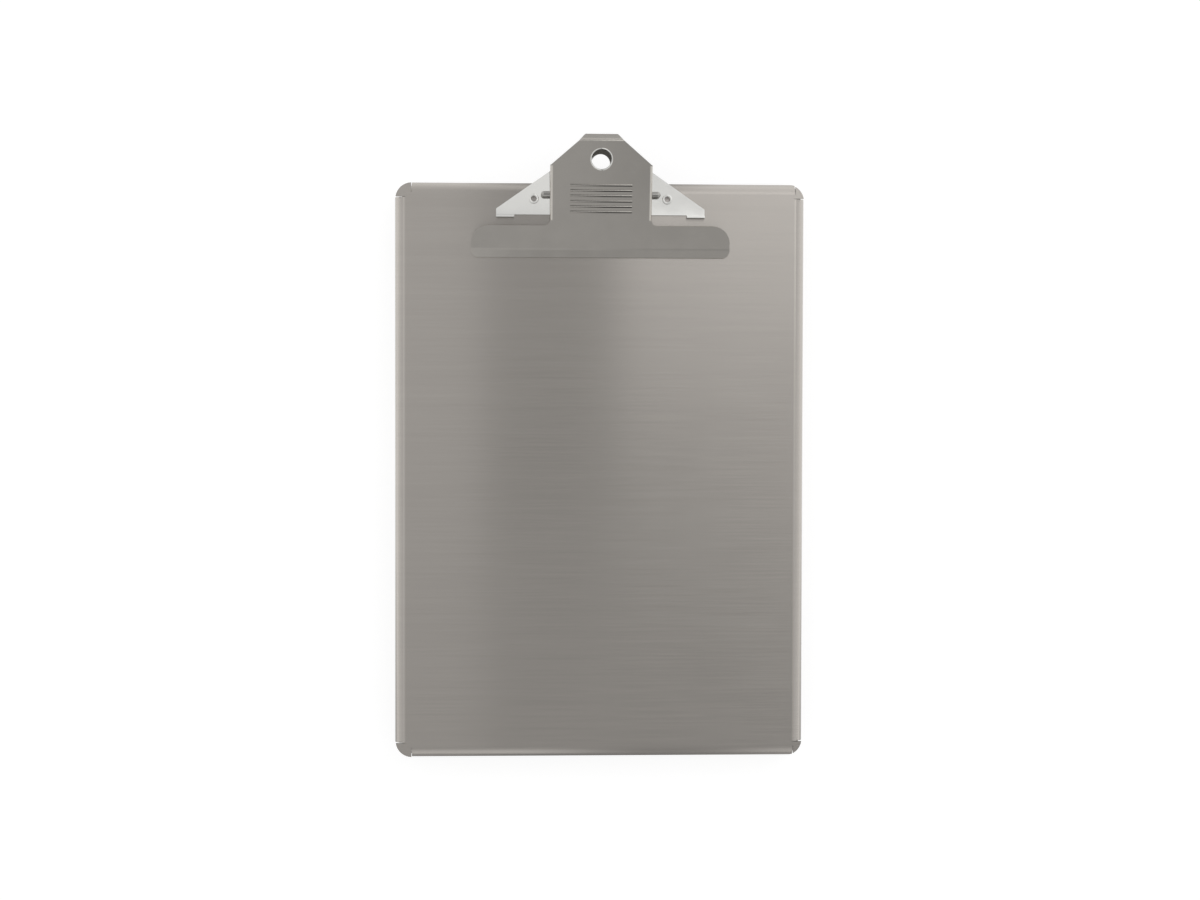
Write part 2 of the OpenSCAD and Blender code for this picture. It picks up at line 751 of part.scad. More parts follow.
function unit(v) = v / norm(v);

// Direction of the wire at point i: along the legs at the ends, and between neighbours elsewhere
function wire_dir(p, i) =
  i == 0 ? unit(p[1] - p[0]) :
  i == len(p) - 1 ? unit(p[i] - p[i - 1]) :
  unit(unit(p[i + 1] - p[i]) + unit(p[i] - p[i - 1]));

// Ring of points round the wire, square to its direction
function wire_ring(p, i) =
  let (
    t = wire_dir(p, i),
    side = unit([1, 0, 0] - t * t[0]),
    up = cross(t, side)
  )
  [for (k = [0:wire_sides - 1])
    p[i] + wire_d / 2 * (cos(360 * k / wire_sides) * side + sin(360 * k / wire_sides) * up)];

module wire_tube(p) {
  n = len(p);
  s = wire_sides;
  points = [for (i = [0:n - 1]) each wire_ring(p, i)];
  walls = [for (i = [0:n - 2], k = [0:s - 1])
    let (a = i * s + k, b = i * s + (k + 1) % s)
    each [[a, b, b + s], [a, b + s, a + s]]];
  first_cap = [for (k = [1:s - 2]) [0, k + 1, k]];
  last_cap = [for (k = [1:s - 2]) [(n - 1) * s, (n - 1) * s + k, (n - 1) * s + k + 1]];
  polyhedron(points = points, faces = concat(walls, first_cap, last_cap));
}

module clip_spring() {
  color(spring_steel) translate([0, axle_y, axle_z]) wire_tube(spring_path);
}

module clip_spring_right() {
  clip_spring();
}

module clip_spring_left() {
  mirror([1, 0, 0]) clip_spring();
}

// Least gap between points of the wire that are more than half a turn apart
last_ring = len(coil_path) - 1;
spring_gap = min([for (i = [0:last_ring], j = [i + rings_per_turn / 2 + 1:1:last_ring])
  norm(coil_path[i] - coil_path[j])]) - wire_d;
echo(spring_least_gap = spring_gap);

// Magnetic catches on the right wall

module at_catch_rivets() {
  for (side = [-1, 1], end = [-1, 1])
    translate([tray_in_x1, side * catch_y + end * catch_rivet_pitch / 2, catch_rivet_z])
      rotate([0, 90, 0]) children();
}

// Section of the bracket: its back down the wall, its shelf, and two walls that hold the magnet
module bracket_section() {
  front_x = magnet_x0 - bracket_t;
  translate([magnet_x1, bracket_foot_z]) square([bracket_t, wall_hook_top - bracket_foot_z]);
  translate([front_x, shelf_z - bracket_t]) square([tray_in_x1 - front_x, bracket_t]);
  translate([front_x, shelf_z - bracket_t]) square([bracket_t, bracket_wall_h + bracket_t]);
}

module catch_bracket(side) {
  color(nickel) difference() {
    translate([0, side * catch_y, 0]) rotate([90, 0, 0])
      linear_extrude(magnet_l, center = true) bracket_section();
    at_catch_rivets() translate([0, 0, -bracket_t - over])
      cylinder(h = bracket_t + 2 * over, r = catch_shank_r + rivet_clear);
  }
}

module catch_magnet(side) {
  color(magnet_grey) translate([magnet_x0, side * catch_y - magnet_l / 2, shelf_z])
    cube([magnet_w, magnet_l, magnet_h]);
}

module keeper_plate(side) {
  color(nickel) translate([flat_x - keeper_w, side * catch_y - magnet_l / 2, lid_under - keeper_t])
    cube([keeper_w, magnet_l, keeper_t]);
}

module catch_bracket_upper() {
  catch_bracket(1);
}

module catch_bracket_lower() {
  catch_bracket(-1);
}

module catch_magnet_upper() {
  catch_magnet(1);
}

module catch_magnet_lower() {
  catch_magnet(-1);
}

module keeper_plate_upper() {
  keeper_plate(1);
}

module keeper_plate_lower() {
  keeper_plate(-1);
}

module catch_rivets() {
  color(nickel) at_catch_rivets() {
    translate([0, 0, -bracket_t]) cylinder(h = bracket_t + tray_t, r = catch_shank_r);
    translate([0, 0, tray_t]) cylinder(h = catch_head_h, r = catch_head_r);
    translate([0, 0, -bracket_t - catch_head_h]) cylinder(h = catch_head_h, r = catch_head_r);
  }
}

tray();
lid();
lid_hinge_leaf();
tray_hinge_leaf();
hinge_pin();
clip_base_plate();
clip_lever();
lever_eyelet();
clip_axle();
clip_spring_left();
clip_spring_right();
clip_rivets();
rivet_washers();
catch_bracket_upper();
catch_bracket_lower();
catch_magnet_upper();
catch_magnet_lower();
catch_rivets();
keeper_plate_upper();
keeper_plate_lower();
tray_bumpers();
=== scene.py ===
"""The looks of a storage clipboard box: a brushed steel board on a tray, with a sprung clip."""

import json
import math

import bmesh
import bpy
from mathutils import Matrix, Vector


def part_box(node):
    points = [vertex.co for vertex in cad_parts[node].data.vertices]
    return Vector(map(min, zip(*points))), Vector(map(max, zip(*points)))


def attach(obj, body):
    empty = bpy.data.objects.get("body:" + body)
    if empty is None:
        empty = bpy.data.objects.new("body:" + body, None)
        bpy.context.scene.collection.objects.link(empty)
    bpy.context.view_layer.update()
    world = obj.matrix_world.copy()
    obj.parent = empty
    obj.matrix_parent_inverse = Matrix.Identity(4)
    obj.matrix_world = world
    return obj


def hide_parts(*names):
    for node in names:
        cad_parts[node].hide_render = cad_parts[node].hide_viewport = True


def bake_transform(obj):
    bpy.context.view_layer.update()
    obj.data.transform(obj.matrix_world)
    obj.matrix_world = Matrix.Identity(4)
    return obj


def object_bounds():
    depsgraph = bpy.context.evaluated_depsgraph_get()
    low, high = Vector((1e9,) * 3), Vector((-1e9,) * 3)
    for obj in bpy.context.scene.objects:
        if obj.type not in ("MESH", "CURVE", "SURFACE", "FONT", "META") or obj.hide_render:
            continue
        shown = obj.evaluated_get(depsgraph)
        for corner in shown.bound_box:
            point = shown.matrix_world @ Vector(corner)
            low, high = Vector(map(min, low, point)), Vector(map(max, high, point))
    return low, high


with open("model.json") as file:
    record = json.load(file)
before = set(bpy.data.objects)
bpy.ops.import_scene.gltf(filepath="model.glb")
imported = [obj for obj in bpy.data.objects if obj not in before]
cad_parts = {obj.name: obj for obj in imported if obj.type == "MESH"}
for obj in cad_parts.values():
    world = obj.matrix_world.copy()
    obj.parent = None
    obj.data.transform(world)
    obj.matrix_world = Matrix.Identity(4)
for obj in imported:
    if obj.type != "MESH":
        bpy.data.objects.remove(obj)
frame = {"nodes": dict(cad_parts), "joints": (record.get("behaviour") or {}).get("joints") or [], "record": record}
cad_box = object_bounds()
nodes = frame["nodes"]
scene = bpy.context.scene
MM = 0.001

# The clip's lever at rest: its plate's slope, the directions up along the plate and off it, and
# the field of the pressed ribs
LEVER_TILT = math.radians(16)
UP_PLATE = Vector((0, math.cos(LEVER_TILT), math.sin(LEVER_TILT)))
OFF_PLATE = Vector((0, -math.sin(LEVER_TILT), math.cos(LEVER_TILT)))
pivot = Vector(next(j for j in frame["joints"] if j["name"] == "lever_pivot")["pos_m"])
RIBS_HALF_W = 18 * MM
RIBS_HALF_H = 9 * MM
RIBS_DOWN = 1.45 * MM
RIBS_ALONG = pivot.dot(UP_PLATE) - RIBS_DOWN

# Camera, at the photograph's viewing angle: its turns in degrees and its shift are in the board's
# own frame, whose origin is the middle of the writing face
FOCAL_PX = 1875
IMAGE_W = 1200
SENSOR_W = 36
CAMERA_TURNS = {"Z": -0.067, "Y": 2.296, "X": 1.403}
CAMERA_SHIFT = Vector((-0.04, -11.63, -1043.58)) * MM


def make_camera():
    board_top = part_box("lid")[1].z
    turns = Matrix.Identity(3)
    for axis, degrees in CAMERA_TURNS.items():
        turns = turns @ Matrix.Rotation(math.radians(degrees), 3, axis)
    data = bpy.data.cameras.new("camera")
    data.sensor_width = SENSOR_W
    data.lens = SENSOR_W * FOCAL_PX / IMAGE_W
    data.clip_start = 0.05
    data.clip_end = 50
    camera = bpy.data.objects.new("camera", data)
    facing = turns.transposed()
    place = Vector((0, 0, board_top)) - facing @ CAMERA_SHIFT
    camera.matrix_world = Matrix.Translation(place) @ facing.to_4x4()
    scene.collection.objects.link(camera)
    scene.camera = camera


# Node trees


def add(tree, kind, inputs=None, **settings):
    """A new node; an input is a value, or another node's output that is linked to it."""
    made = tree.nodes.new(kind)
    for key, value in settings.items():
        setattr(made, key, value)
    for key, value in (inputs or {}).items():
        if isinstance(value, bpy.types.NodeSocket):
            tree.links.new(value, made.inputs[key])
        else:
            made.inputs[key].default_value = value
    return made


def maths(tree, operation, a, b=0.0, c=0.5):
    return add(tree, "ShaderNodeMath", {0: a, 1: b, 2: c}, operation=operation).outputs[0]


def remap(tree, value, low, high, to_low, to_high):
    """The value, taken from the range low to high to the range to_low to to_high, and kept in it."""
    ends = {"From Min": low, "From Max": high, "To Min": to_low, "To Max": to_high}
    return add(tree, "ShaderNodeMapRange", {"Value": value, **ends}).outputs["Result"]


def noise(tree, vector, scale, detail=2.0, roughness=0.5):
    shape = {"Scale": scale, "Detail": detail, "Roughness": roughness}
    return add(tree, "ShaderNodeTexNoise", {"Vector": vector, **shape}).outputs["Fac"]


def shade(tree, colour, factor):
    """The colour, made lighter or darker by a factor about 1."""
    made = add(tree, "ShaderNodeVectorMath", {0: colour, "Scale": factor}, operation="SCALE")
    return made.outputs["Vector"]


def material(name, metallic, **sockets):
    """A material with its shader, and the values that are the same all over set on its sockets."""
    made = bpy.data.materials.new(name)
    made.use_nodes = True
    shader = made.node_tree.nodes["Principled BSDF"]
    shader.inputs["Metallic"].default_value = metallic
    for key, value in sockets.items():
        shader.inputs[key.replace("_", " ")].default_value = value
    return made, made.node_tree, shader


def dot(tree, vector, fixed):
    made = add(tree, "ShaderNodeVectorMath", {0: vector, 1: fixed}, operation="DOT_PRODUCT")
    return made.outputs["Value"]


def bump(tree, height, distance, strength=1.0):
    made = add(tree, "ShaderNodeBump", {"Height": height, "Distance": distance, "Strength": strength})
    return made.outputs["Normal"]


# Materials

# How dark the painted shade makes the faces it is painted on, and how much rougher they are, the
# brushed lines' contrast in tone and in roughness, the smudges' in roughness, and the depths of the
# lines and of plated metal's waves
PAINTED_SHADE_TONE = 0.04
ROUGHER_WHERE_PAINTED_SHADE = 0.2
LINE_TONE = 0.025
LINE_ROUGHNESS = 0.015
SMUDGE_ROUGHNESS = 0.015
LINE_DEPTH = 0.004 * MM
WAVE_DEPTH = 0.04 * MM
OFF_ZERO = 0.02
# A face of the lid that looks along X or Y is a sheared end, if it is nearer the middle than this.
# These ends get painted shade.
SHEARED_WITHIN_X = 112 * MM
SHEARED_WITHIN_Y = 158 * MM


# Painted shade: the tone made darker by the amount, down to a small share of itself where the amount is 1
def with_painted_shade(tree, tone, amount):
    return maths(tree, "MULTIPLY", tone, remap(tree, amount, 0.0, 1.0, 1.0, PAINTED_SHADE_TONE))


def brushed_metal(name, colour, roughness, painted_shade_mask=None):
    """Sheet steel, brushed along X before it was folded, so the lines run on round the folds. The
    faces that the mask argument picks out get painted shade: they are darker."""
    made, tree, shader = material(name, 1.0, Anisotropic=1.0)
    place = add(tree, "ShaderNodeTexCoord")
    xyz = add(tree, "ShaderNodeSeparateXYZ", {0: place.outputs["Object"]}).outputs
    normal = add(tree, "ShaderNodeSeparateXYZ", {0: place.outputs["Normal"]}).outputs
    along = maths(tree, "ADD", xyz["X"], maths(tree, "MULTIPLY", xyz["Z"],
                                               maths(tree, "ABSOLUTE", normal["X"])))
    across = maths(tree, "ADD", xyz["Y"], maths(tree, "MULTIPLY", xyz["Z"],
                                                maths(tree, "ABSOLUTE", normal["Y"])))

    def lines(per_metre_along, per_metre_across, detail):
        stretched = add(tree, "ShaderNodeCombineXYZ", {
            "X": maths(tree, "MULTIPLY", along, per_metre_along),
            "Y": maths(tree, "MULTIPLY", across, per_metre_across),
        }).outputs[0]
        return noise(tree, stretched, 1.0, detail, 0.6)

    fine = lines(18, 1500, 3.0)
    broad = lines(5, 160, 2.0)
    smudges = noise(tree, place.outputs["Object"], 14.0, 3.0, 0.55)
    tone = maths(tree, "ADD",
                 remap(tree, fine, 0.3, 0.7, -LINE_TONE, LINE_TONE),
                 remap(tree, broad, 0.3, 0.7, -LINE_TONE / 2, LINE_TONE / 2))
    tone = maths(tree, "ADD", tone, 1.0)
    if painted_shade_mask:
        # Painted shade on the faces that the mask picks out
        tone = with_painted_shade(tree, tone, painted_shade_mask(tree, place.outputs))
    tree.links.new(shade(tree, colour, tone), shader.inputs["Base Color"])
    rough = maths(tree, "ADD",
                  remap(tree, smudges, 0.3, 0.7,
                        roughness - SMUDGE_ROUGHNESS, roughness + SMUDGE_ROUGHNESS),
                  remap(tree, fine, 0.3, 0.7, -LINE_ROUGHNESS, LINE_ROUGHNESS))
    tree.links.new(rough, shader.inputs["Roughness"])
    tree.links.new(bump(tree, fine, LINE_DEPTH, 0.5), shader.inputs["Normal"])
    # Highlights stretch across the lines: this is the cross product of the normal and X, a little
    # off zero on the faces that look along X
    stretch = add(tree, "ShaderNodeCombineXYZ", {
        "Y": maths(tree, "ADD", normal["Z"], OFF_ZERO),
        "Z": maths(tree, "MULTIPLY", normal["Y"], -1.0),
    }).outputs[0]
    turned = add(tree, "ShaderNodeVectorTransform", {0: stretch},
                 vector_type="VECTOR", convert_from="OBJECT", convert_to="WORLD").outputs[0]
    tree.links.new(turned, shader.inputs["Tangent"])
    return made


def plated_metal(name, colour, roughness, haze=0.04, painted_shade_mask=None):
    """Plated or bare smooth metal: faint waves in its reflections, and hazy rubbed patches. The
    faces that the mask argument picks out get painted shade, and are also rougher."""
    made, tree, shader = material(name, 1.0)
    coordinates = add(tree, "ShaderNodeTexCoord").outputs
    place = coordinates["Object"]
    patches = noise(tree, place, 90.0, 4.0, 0.6)
    waves = noise(tree, place, 45.0, 1.0)
    specks = noise(tree, place, 2600.0, 2.0)
    tone = remap(tree, patches, 0.3, 0.7, 0.98, 1.02)
    rough = maths(tree, "ADD",
                  remap(tree, patches, 0.3, 0.7, roughness - haze, roughness + haze),
                  remap(tree, specks, 0.4, 0.6, -0.01, 0.01))
    if painted_shade_mask:
        # Painted shade on the faces that the mask picks out, which are also made rougher
        amount = painted_shade_mask(tree, coordinates)
        tone = with_painted_shade(tree, tone, amount)
        rough = maths(tree, "ADD", rough, maths(tree, "MULTIPLY", amount, ROUGHER_WHERE_PAINTED_SHADE))
    tree.links.new(shade(tree, colour, tone), shader.inputs["Base Color"])
    tree.links.new(maths(tree, "MAXIMUM", rough, 0.03), shader.inputs["Roughness"])
    tree.links.new(bump(tree, waves, WAVE_DEPTH), shader.inputs["Normal"])
    return made


def sheared_ends_painted_shade(tree, coordinates):
    """The ends of the lid's flanges and of its corners, which get painted shade."""
    found = []
    for axis, inside in (((1, 0, 0), SHEARED_WITHIN_X), ((0, 1, 0), SHEARED_WITHIN_Y)):
        facing = maths(tree, "ABSOLUTE", dot(tree, coordinates["Normal"], axis))
        place = maths(tree, "ABSOLUTE", dot(tree, coordinates["Object"], axis))
        found.append(maths(tree, "MULTIPLY", maths(tree, "GREATER_THAN", facing, 0.95),
                           maths(tree, "LESS_THAN", place, inside)))
    return maths(tree, "MAXIMUM", found[0], found[1])


def lever_painted_shade(tree, coordinates):
    """Painted shade on the lever's underside, and along the feet of the pressed ribs, all of which are
    also rougher: along the upper feet at the left, and the lower feet at the right."""
    # Painted shade under the lever: faces turned away from the plate's top
    under = remap(tree, dot(tree, coordinates["Normal"], OFF_PLATE), -0.4, -0.7, 0.0, 0.75)
    slope = dot(tree, coordinates["Normal"], UP_PLATE)
    upper = remap(tree, slope, 0.1, 0.4, 0.0, 1.0)
    lower = remap(tree, slope, -0.03, -0.19, 0.0, 1.0)
    across = dot(tree, coordinates["Object"], (1, 0, 0))
    along = dot(tree, coordinates["Object"], UP_PLATE)
    ribs = maths(tree, "MULTIPLY",
                 maths(tree, "LESS_THAN", maths(tree, "ABSOLUTE", across), RIBS_HALF_W),
                 maths(tree, "COMPARE", along, RIBS_ALONG, RIBS_HALF_H))
    left = remap(tree, across, -RIBS_HALF_W, RIBS_HALF_W, 0.8, 0.0)
    right = remap(tree, across, -0.8 * RIBS_HALF_W, 0.1 * RIBS_HALF_W, 0.3, 1.0)
    # Painted shade along the ribs' feet, fading from one side to the other
    rib_painted_shade = maths(tree, "ADD", maths(tree, "MULTIPLY", upper, left),
                 maths(tree, "MULTIPLY", lower, right))
    return maths(tree, "MAXIMUM", under, maths(tree, "MULTIPLY", rib_painted_shade, ribs))


def ferrite(name, colour):
    """Pressed magnet powder: a dark, slightly porous grey."""
    made, tree, shader = material(name, 0.0)
    place = add(tree, "ShaderNodeTexCoord").outputs["Object"]
    grains = noise(tree, place, 2200.0, 4.0, 0.7)
    clouds = noise(tree, place, 160.0, 3.0)
    tone = maths(tree, "ADD", remap(tree, grains, 0.3, 0.7, 0.8, 1.2),
                 remap(tree, clouds, 0.3, 0.7, -0.1, 0.1))
    tree.links.new(shade(tree, colour, tone), shader.inputs["Base Color"])
    tree.links.new(remap(tree, grains, 0.3, 0.7, 0.5, 0.7), shader.inputs["Roughness"])
    tree.links.new(bump(tree, grains, 0.06 * MM), shader.inputs["Normal"])
    return made


def soft_rubber(name, colour):
    """Clear silicone with a fine matt skin."""
    made, tree, shader = material(name, 0.0, Subsurface_Weight=0.4, Subsurface_Scale=2 * MM, IOR=1.41)
    place = add(tree, "ShaderNodeTexCoord").outputs["Object"]
    skin = noise(tree, place, 1800.0, 3.0)
    clouds = noise(tree, place, 250.0, 2.0)
    tree.links.new(shade(tree, colour, remap(tree, clouds, 0.3, 0.7, 0.95, 1.03)),
                   shader.inputs["Base Color"])
    tree.links.new(remap(tree, skin, 0.3, 0.7, 0.32, 0.48), shader.inputs["Roughness"])
    tree.links.new(bump(tree, skin, 0.02 * MM), shader.inputs["Normal"])
    return made


MATERIALS = {
    # The board's sheared ends get painted shade
    "board_steel": brushed_metal("board_steel", (0.515, 0.485, 0.450), 0.22, painted_shade_mask=sheared_ends_painted_shade),
    "tray_steel": brushed_metal("tray_steel", (0.55, 0.52, 0.50), 0.24),
    "hinge_steel": plated_metal("hinge_steel", (0.58, 0.57, 0.55), 0.30),
    "pin_steel": plated_metal("pin_steel", (0.42, 0.41, 0.39), 0.12),
    "base_nickel": plated_metal("base_nickel", (0.78, 0.775, 0.75), 0.08, haze=0.02),
    # The lever gets painted shade on its underside and along its ribs
    "lever_nickel": plated_metal("lever_nickel", (0.64, 0.61, 0.565), 0.14, haze=0.01,
                                 painted_shade_mask=lever_painted_shade),
    "spring_steel": plated_metal("spring_steel", (0.40, 0.39, 0.37), 0.24),
    "magnet_grey": ferrite("magnet_grey", (0.055, 0.055, 0.06)),
    "silicone": soft_rubber("silicone", (0.72, 0.72, 0.70)),
}


def finish_nodes():
    """Each node takes the finish that the record names for it."""
    for part in frame["record"]["subparts"]:
        for place in nodes[part["node"]].material_slots:
            place.material = MATERIALS[part["material_slot"]]


# Clip springs: the solids' faceted wires as round ones, with the same sizes

WIRE_R = 0.7 * MM
COIL_R = 2.9 * MM
COIL_TURNS = 6
COIL_GAP = 0.5 * MM
LEG_L = 15 * MM
LOW_LEG_DROP = 0.5 * MM
HIGH_LEG_RISE = 0.2 * MM
WIRE_SIDES = 16
STEPS_PER_TURN = 36
LEG_STEPS = 6


def tube(name, path, radius):
    """A closed round wire along a path, its rings square to the path and not twisting."""
    mesh = bpy.data.meshes.new(name)
    shape = bmesh.new()
    rings = []
    side = Vector((1, 0, 0))
    for i, point in enumerate(path):
        ahead = (path[min(i + 1, len(path) - 1)] - path[max(i - 1, 0)]).normalized()
        side = (side - ahead * side.dot(ahead)).normalized()
        up = ahead.cross(side)
        turns = (2 * math.pi * k / WIRE_SIDES for k in range(WIRE_SIDES))
        rings.append([shape.verts.new(point + radius * (math.cos(t) * side + math.sin(t) * up))
                      for t in turns])
    for first, second in zip(rings, rings[1:]):
        for k in range(WIRE_SIDES):
            n = (k + 1) % WIRE_SIDES
            shape.faces.new((first[k], first[n], second[n], second[k]))
    shape.faces.new(reversed(rings[0]))
    shape.faces.new(rings[-1])
    shape.to_mesh(mesh)
    shape.free()
    mesh.shade_smooth()
    made = bpy.data.objects.new(name, mesh)
    scene.collection.objects.link(made)
    return made


def spring_path(side):
    """From the leg on the base plate, through the coils, to the leg under the lever."""
    sweep = 2 * math.pi * COIL_TURNS + math.pi - LEVER_TILT
    steps = round(STEPS_PER_TURN * sweep / (2 * math.pi))
    start_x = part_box("clip_spring_right")[1].x - WIRE_R
    pitch = 2 * WIRE_R + COIL_GAP
    coil = []
    for i in range(steps + 1):
        turned = sweep * i / steps
        at = -math.pi / 2 - turned
        x = start_x - pitch * turned / (2 * math.pi)
        coil.append(Vector((x, COIL_R * math.cos(at), COIL_R * math.sin(at))))
    low_end = coil[0] + Vector((0, LEG_L, -LOW_LEG_DROP))
    high_end = coil[-1] + LEG_L * UP_PLATE + HIGH_LEG_RISE * OFF_PLATE
    low_leg = [low_end.lerp(coil[0], i / LEG_STEPS) for i in range(LEG_STEPS)]
    high_leg = [coil[-1].lerp(high_end, (i + 1) / LEG_STEPS) for i in range(LEG_STEPS)]
    return [Vector((side * p.x, p.y, p.z)) + pivot for p in low_leg + coil + high_leg]


def make_springs():
    for side, node in ((1, "clip_spring_right"), (-1, "clip_spring_left")):
        path = spring_path(side)
        wire = tube("wire_of_" + node, path, WIRE_R)
        wire.data.materials.append(MATERIALS["spring_steel"])
        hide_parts(node)
        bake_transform(wire)


# Turned pieces

TURN_STEPS = 96
ROLL_STEPS = 14
# The eyelet's radii and the height of its roll over the lever's plate, whose underside is
# PLATE_OFF from the pivot, and its way up the plate
EYELET_BORE_R = 5.5 * MM
EYELET_BARREL_R = 5.95 * MM
EYELET_RIM_R = 6.25 * MM
EYELET_ROLL = 0.45 * MM
LEVER_T = 0.9 * MM
EYELET_UP = 20.2 * MM
PLATE_OFF = 3.9 * MM
BUMPER_R = 2.2 * MM
# The dome's share of a bumper's height, and the steps of its rounded edge
DOME_SHARE = 0.7
DOME_STEPS = 6


def turned(name, profile, places, slot, node, body):
    """A closed profile of (radius, height) points turned about Z, once for each placing matrix."""
    mesh = bpy.data.meshes.new(name)
    shape = bmesh.new()
    for place in places:
        rings = []
        for k in range(TURN_STEPS):
            at = 2 * math.pi * k / TURN_STEPS
            rings.append([shape.verts.new(place @ Vector((r * math.cos(at), r * math.sin(at), h)))
                          for r, h in profile])
        for k, ring in enumerate(rings):
            after = rings[(k + 1) % TURN_STEPS]
            for i in range(len(profile)):
                n = (i + 1) % len(profile)
                shape.faces.new((ring[i], after[i], after[n], ring[n]))
    bmesh.ops.remove_doubles(shape, verts=shape.verts, dist=1e-7)
    bmesh.ops.recalc_face_normals(shape, faces=shape.faces)
    shape.to_mesh(mesh)
    shape.free()
    mesh.shade_smooth()
    mesh.materials.append(MATERIALS[slot])
    made = bpy.data.objects.new(name, mesh)
    scene.collection.objects.link(made)
    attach(made, body)
    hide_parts(node)


def roll(inner, outer, base, rise):
    """Points over a rolled rim, from its outer edge to its inner edge."""
    middle = (inner + outer) / 2
    half = (outer - inner) / 2
    turns = (math.pi * i / ROLL_STEPS for i in range(ROLL_STEPS + 1))
    return [(middle + half * math.cos(t), base + rise * math.sin(t)) for t in turns]


def make_eyelet():
    lever = Matrix.Translation(pivot) @ Matrix.Rotation(LEVER_TILT, 4, "X")
    place = lever @ Matrix.Translation((0, EYELET_UP, PLATE_OFF))
    top = roll(EYELET_BORE_R, EYELET_RIM_R, LEVER_T, EYELET_ROLL)
    bottom = roll(EYELET_BORE_R, EYELET_RIM_R, 0, -EYELET_ROLL)
    barrel = [(EYELET_BARREL_R, 0), (EYELET_BARREL_R, LEVER_T)]
    turned("rolled_eyelet", top + bottom[::-1] + barrel, [place], "base_nickel", "lever_eyelet",
           "lever")


def make_bumpers():
    low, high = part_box("tray_bumpers")
    height = high.z - low.z
    edge = DOME_SHARE * height
    turns = [math.pi / 2 * (k + 1) / DOME_STEPS for k in range(DOME_STEPS)]
    dome = [(0, 0), (BUMPER_R, 0), (BUMPER_R, height - edge)]
    dome += [(BUMPER_R - edge * (1 - math.cos(t)), height - edge * (1 - math.sin(t)))
             for t in turns]
    dome.append((0, height))
    places = [Matrix.Translation((x, y, low.z))
              for x in (low.x + BUMPER_R, high.x - BUMPER_R)
              for y in (low.y + BUMPER_R, high.y - BUMPER_R)]
    turned("domed_bumpers", dome, places, "silicone", "tray_bumpers", "tray")


# Studio

FLOOR_R = 30.0
FLOOR_DROP = 0.2 * MM
# The seen floor's own glow, and the share of its lit brightness that it gives up for that
FLOOR_GLOW = 0.8
FLOOR_DIMMED = 0.65
# How bright the metal sees the floor: at the object's sides, in front of it, and behind its clip,
# where the darker front and clip values are painted shadow
FLOOR_SIDES = 1.0
FLOOR_FRONT_PAINTED_SHADOW = 0.1
FLOOR_BEHIND_PAINTED_SHADOW = 0.25


def mirrored_floor_painted_shadow(tree):
    """How bright the metal sees each place of the floor, with painted shadow in front of the object and behind its
    clip.
    """
    place = add(tree, "ShaderNodeNewGeometry").outputs["Position"]
    axes = add(tree, "ShaderNodeSeparateXYZ", {0: place}).outputs
    aside = maths(tree, "ABSOLUTE", axes["X"])
    off_front = maths(tree, "ADD", aside, maths(tree, "MULTIPLY", axes["Y"], 0.9))
    off_clip = maths(tree, "SUBTRACT", aside, maths(tree, "MINIMUM", axes["Y"], 0.0))
    # Painted shadow: the floor darker in reflections in front of the object and behind its clip
    return maths(tree, "MINIMUM",
                 remap(tree, off_front, -0.12, 0.12, FLOOR_FRONT_PAINTED_SHADOW, FLOOR_SIDES),
                 remap(tree, off_clip, 0.03, 0.08, FLOOR_BEHIND_PAINTED_SHADOW, FLOOR_SIDES))


def floor_material():
    """White with the object's shadow for the camera, and in metal with a painted shadow near the object."""
    made = bpy.data.materials.new("floor")
    made.use_nodes = True
    tree = made.node_tree
    tree.nodes.clear()
    path = add(tree, "ShaderNodeLightPath").outputs
    seen = maths(tree, "ADD", path["Is Camera Ray"], path["Is Glossy Ray"])
    seen = maths(tree, "MINIMUM", maths(tree, "ADD", seen, path["Is Transmission Ray"]), 1.0)
    # The painted shadow applies to glossy rays only; the camera sees plain white
    level = maths(tree, "MAXIMUM", path["Is Camera Ray"], mirrored_floor_painted_shadow(tree))
    plain = add(tree, "ShaderNodeBsdfDiffuse", {"Color": (0.9, 0.9, 0.9, 1)}).outputs[0]
    black = add(tree, "ShaderNodeEmission", {"Strength": 0.0}).outputs[0]
    glow = add(tree, "ShaderNodeEmission", {"Color": (1, 1, 1, 1), "Strength": level}).outputs[0]
    dimmed = maths(tree, "MULTIPLY", seen, FLOOR_DIMMED)
    lit = add(tree, "ShaderNodeMixShader", {0: dimmed, 1: plain, 2: black}).outputs[0]
    share = maths(tree, "MULTIPLY", seen, FLOOR_GLOW)
    shown = add(tree, "ShaderNodeMixShader", {0: share, 1: black, 2: glow}).outputs[0]
    both = add(tree, "ShaderNodeAddShader", {0: lit, 1: shown}).outputs[0]
    add(tree, "ShaderNodeOutputMaterial", {"Surface": both})
    return made


def white_floor():
    mesh = bpy.data.meshes.new("floor")
    shape = bmesh.new()
    bmesh.ops.create_circle(shape, cap_ends=True, radius=FLOOR_R, segments=64)
    shape.to_mesh(mesh)
    shape.free()
    mesh.materials.append(floor_material())
    floor = bpy.data.objects.new("floor", mesh)
    floor.location.z = cad_box[0].z - FLOOR_DROP
    scene.collection.objects.link(floor)


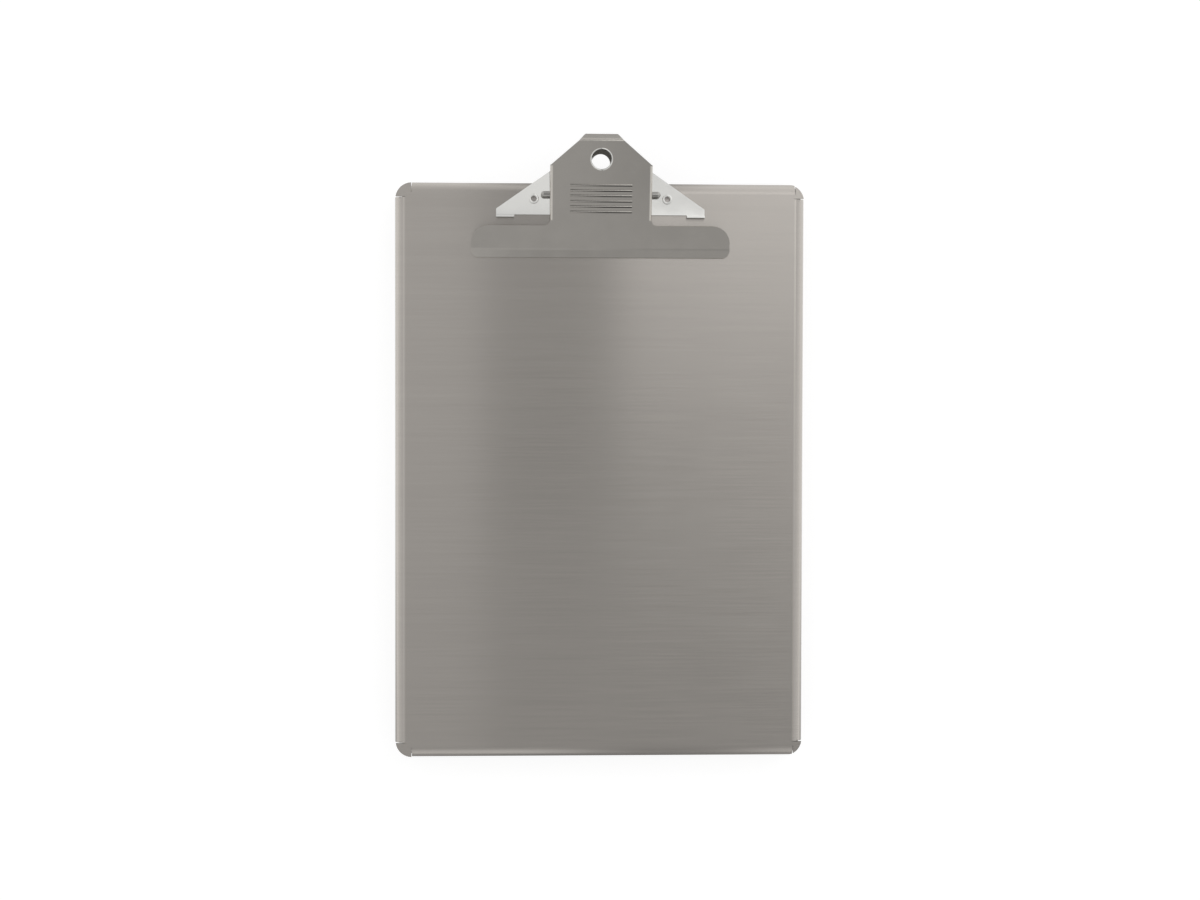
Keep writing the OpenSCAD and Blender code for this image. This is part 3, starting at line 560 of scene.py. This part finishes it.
# Flat softboxes above the camera, facing down, which add to the ceiling's grey: name, edges in X
# and in Y, radiance
OVERHEAD_Z = 1.2
OVERHEAD = (
    ("softbox_left", -0.8, -0.09, 0.0, 0.9, 0.31),
    ("softbox_left_low", -0.8, -0.09, -0.42, 0.0, 0.17),
    ("softbox_slot_low", -0.09, 0.07, -0.42, -0.1, 0.09),
    ("softbox_front", -0.8, 0.8, -0.9, -0.42, 0.065),
    ("softbox_right", 0.07, 0.8, 0.33, 0.9, 0.88),
    ("softbox_right_edge", 0.19, 0.8, 0.15, 0.33, 0.78),
    ("softbox_right_inner", 0.07, 0.19, 0.15, 0.26, 0.80),
    ("softbox_right_plate", 0.07, 0.19, 0.26, 0.33, 0.40),
    ("softbox_right_mid", 0.07, 0.8, -0.1, 0.15, 0.03),
    ("softbox_top", -0.11, 0.07, 0.25, 0.37, 0.50),
)


def softbox(name, left, right, low, high, radiance):
    data = bpy.data.lights.new(name, "AREA")
    data.shape = "RECTANGLE"
    data.size = right - left
    data.size_y = high - low
    data.energy = radiance * math.pi * data.size * data.size_y
    lamp = bpy.data.objects.new(name, data)
    lamp.location = ((left + right) / 2, (low + high) / 2, OVERHEAD_Z)
    scene.collection.objects.link(lamp)
    lamp.visible_camera = False


# The walls' greys: at the floor and just under the ceiling, and the front wall's share of them
WALL_LOW = 1.08
WALL_HIGH = 0.78
WALL_FRONT = 0.72
# The dark gaps in the front and in the back wall: middle and half width in X, and the shares of
# the wall's grey in the gap and beside it
FRONT_GAP = (0.075, 0.028, 0.55, 1.2)
BACK_GAP = (0.045, 0.022, 0.58, 1.0)
# The back wall's share on the left and on the right
BACK_LEFT = 0.86
BACK_RIGHT = 1.12
# The ceiling's greys: over the camera and at the sides, and the front's share of them
CEILING_MIDDLE = 0.38
CEILING_SIDES = 0.62
CEILING_FRONT = 0.8


def grey_world():
    """Pale walls with a dark gap in front and behind, and a grey ceiling over the softboxes, as
    the metal mirrors them. Places are parts of a unit vector. The camera sees white."""
    world = bpy.data.worlds.new("studio")
    scene.world = world
    world.use_nodes = True
    tree = world.node_tree
    tree.nodes.clear()
    way = add(tree, "ShaderNodeTexCoord").outputs["Generated"]
    axes = add(tree, "ShaderNodeSeparateXYZ", {0: way}).outputs

    def off(middle):
        return maths(tree, "ABSOLUTE", maths(tree, "SUBTRACT", axes["X"], middle))

    def gap(middle, half, dark, light):
        return remap(tree, off(middle), half, 2.2 * half, dark, light)

    in_front = remap(tree, axes["Y"], -0.35, -0.2, 1.0, 0.0)
    in_back = remap(tree, axes["Y"], 0.2, 0.35, 0.0, 1.0)
    back = maths(tree, "MULTIPLY", gap(*BACK_GAP),
                 remap(tree, axes["X"], 0.0, 0.09, BACK_LEFT, BACK_RIGHT))
    gaps = maths(tree, "MULTIPLY", maths(tree, "POWER", gap(*FRONT_GAP), in_front),
                 maths(tree, "POWER", back, in_back))
    wall = maths(tree, "MULTIPLY", gaps, remap(tree, axes["Z"], 0.0, 0.84, WALL_LOW, WALL_HIGH))
    wall = maths(tree, "MULTIPLY", wall, remap(tree, axes["Y"], -0.2, 0.06, WALL_FRONT, 1.0))
    ceiling = maths(tree, "MULTIPLY",
                    remap(tree, off(0.05), 0.15, 0.45, CEILING_MIDDLE, CEILING_SIDES),
                    remap(tree, axes["Y"], -0.9, 0.3, CEILING_FRONT, 1.0))
    below = remap(tree, axes["Z"], 0.80, 0.86, 1.0, 0.0)
    level = maths(tree, "ADD", ceiling,
                  maths(tree, "MULTIPLY", below, maths(tree, "SUBTRACT", wall, ceiling)))
    level = maths(tree, "MAXIMUM", level, add(tree, "ShaderNodeLightPath").outputs["Is Camera Ray"])
    sky = add(tree, "ShaderNodeBackground", {"Color": (1, 1, 1, 1), "Strength": level})
    add(tree, "ShaderNodeOutputWorld", {"Surface": sky.outputs[0]})


make_camera()
scene.view_settings.view_transform = "Standard"
finish_nodes()
make_springs()
make_eyelet()
make_bumpers()
white_floor()
grey_world()
for flat_box in OVERHEAD:
    softbox(*flat_box)
